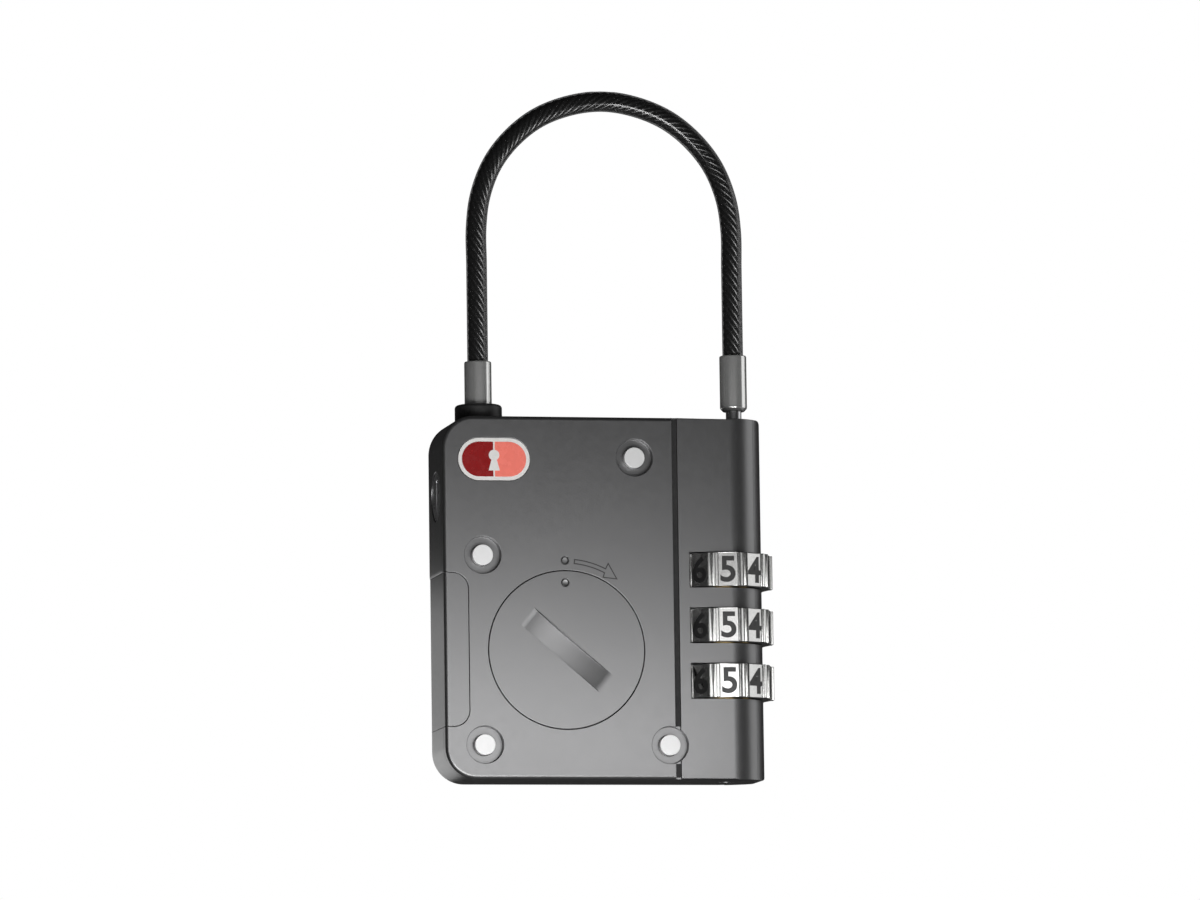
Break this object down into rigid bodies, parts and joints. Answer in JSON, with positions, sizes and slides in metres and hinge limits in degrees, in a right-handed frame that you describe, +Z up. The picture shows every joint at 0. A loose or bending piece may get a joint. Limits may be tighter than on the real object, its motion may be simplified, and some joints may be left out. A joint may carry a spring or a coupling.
{
  "type": "cable luggage lock",
  "caption": "Flat metal combination lock for luggage with a steel cable shackle, turning code dials, a key override, a reset button and a coin-cell tracker under a twist-off cap.",
  "frame": {"origin": "centre of the box of the case and dials, on the flat bottom face of the case", "axes": "+X towards the dials, -Y out of the front face with the battery cap, +Z up towards the cable"},
  "size_m": [0.051, 0.0148, 0.1038],
  "materials": {
    "painted_zinc": "satin dark grey paint on zinc",
    "window_plastic": "satin dark grey plastic",
    "badge_enamel": "off-white rim, red fields",
    "pin_steel": "bright ground pin heads",
    "dial_chrome": "bright satin chrome, black digits",
    "brass": "plain brass",
    "steel": "plain steel",
    "spring_steel": "spring wire",
    "ferrule_nickel": "satin nickel",
    "collar_plastic": "black moulded",
    "seal_rubber": "black silicone",
    "tray_plastic": "black moulded",
    "board": "green solder mask",
    "flex": "amber flexible film",
    "wire_rope": "dark stranded steel wire",
    "cable_jacket": "clear smoky coating"
  },
  "bodies": {
    "case": {"back_case": "painted_zinc", "front_cover": "painted_zinc", "antenna_window": "window_plastic", "badge": "badge_enamel", "cover_pins": "pin_steel", "cap_seal": "seal_rubber", "coin_cell": "steel", "cell_contact_minus": "brass", "cell_contact_plus": "brass", "tracker_tray": "tray_plastic", "tracker_board": "board", "radio_shield": "steel", "piezo_buzzer": "brass", "antenna_strip": "flex", "tracker_screws": "steel", "dial_detent": "steel", "spindle_spring": "spring_steel", "clutch_spring": "spring_steel", "cylinder_pin": "steel", "cable_collar": "collar_plastic", "anchor_pin": "steel", "anchor_ferrule": "ferrule_nickel", "cable_core": "wire_rope", "cable_jacket": "cable_jacket"},
    "dial_top": {"dial_1": "dial_chrome"},
    "dial_middle": {"dial_2": "dial_chrome"},
    "dial_bottom": {"dial_3": "dial_chrome"},
    "sleeve_top": {"cam_sleeve_1": "brass"},
    "sleeve_middle": {"cam_sleeve_2": "brass"},
    "sleeve_bottom": {"cam_sleeve_3": "brass"},
    "reset": {"reset_button": "steel"},
    "code_spindle": {"spindle": "steel"},
    "carriage": {"release_slide": "steel", "latch_spring": "spring_steel"},
    "plug_latch": {"latch": "steel"},
    "key_barrel": {"key_cylinder": "steel", "key_wafers": "brass", "key_cam": "steel", "cam_clip": "steel"},
    "cap": {"battery_cap": "painted_zinc"},
    "plug": {"plug_pin": "steel", "plug_ferrule": "ferrule_nickel"}
  },
  "joints": [
    {"name": "dial_1_turn", "type": "hinge", "parent": "case", "child": "dial_top", "pos_m": [0.018, 0, 0.0313], "axis": [0, 0, 1], "continuous": true},
    {"name": "dial_2_turn", "type": "hinge", "parent": "case", "child": "dial_middle", "pos_m": [0.018, 0, 0.023], "axis": [0, 0, 1], "continuous": true},
    {"name": "dial_3_turn", "type": "hinge", "parent": "case", "child": "dial_bottom", "pos_m": [0.018, 0, 0.0147], "axis": [0, 0, 1], "continuous": true},
    {"name": "sleeve_1_lift", "type": "slide", "parent": "dial_top", "child": "sleeve_top", "axis": [0, 0, 1], "range_m": [0, 0.0012], "deforming": ["clutch_spring"]},
    {"name": "sleeve_2_lift", "type": "slide", "parent": "dial_middle", "child": "sleeve_middle", "axis": [0, 0, 1], "range_m": [0, 0.0012]},
    {"name": "sleeve_3_lift", "type": "slide", "parent": "dial_bottom", "child": "sleeve_bottom", "axis": [0, 0, 1], "range_m": [0, 0.0012]},
    {"name": "reset_press", "type": "slide", "parent": "case", "child": "reset", "axis": [0, 0, 1], "range_m": [0, 0.0012], "stiffness_N_per_m": 400, "springref_m": -0.0005},
    {"name": "spindle_slide", "type": "slide", "parent": "case", "child": "code_spindle", "axis": [0, 0, 1], "range_m": [0, 0.0029], "deforming": ["spindle_spring"]},
    {"name": "key_turn", "type": "hinge", "parent": "case", "child": "key_barrel", "pos_m": [-0.0255, 0, 0.0424], "axis": [1, 0, 0], "range_deg": [0, 90]},
    {"name": "release_slide_travel", "type": "slide", "parent": "case", "child": "carriage", "axis": [-1, 0, 0], "range_m": [0, 0.0013]},
    {"name": "latch_slide", "type": "slide", "parent": "carriage", "child": "plug_latch", "axis": [1, 0, 0], "range_m": [0, 0.0008]},
    {"name": "battery_cap_turn", "type": "hinge", "parent": "case", "child": "cap", "pos_m": [-0.0071, -0.0058, 0.0192], "axis": [0, 1, 0], "range_deg": [0, 40]},
    {"name": "plug_pull", "type": "slide", "parent": "case", "child": "plug", "axis": [0, 0, 1], "range_m": [0, 0.012], "deforming": ["cable_core", "cable_jacket"]}
  ],
  "couplings": [
    {"joint": "sleeve_1_lift", "follows": "reset_press", "ratio": 1},
    {"joint": "sleeve_2_lift", "follows": "reset_press", "ratio": 1},
    {"joint": "sleeve_3_lift", "follows": "reset_press", "ratio": 1},
    {"joint": "key_turn", "follows": "release_slide_travel", "rad_per_m": 1208.3},
    {"joint": "latch_slide", "follows": "spindle_slide", "ratio": 0.27586}
  ]
}
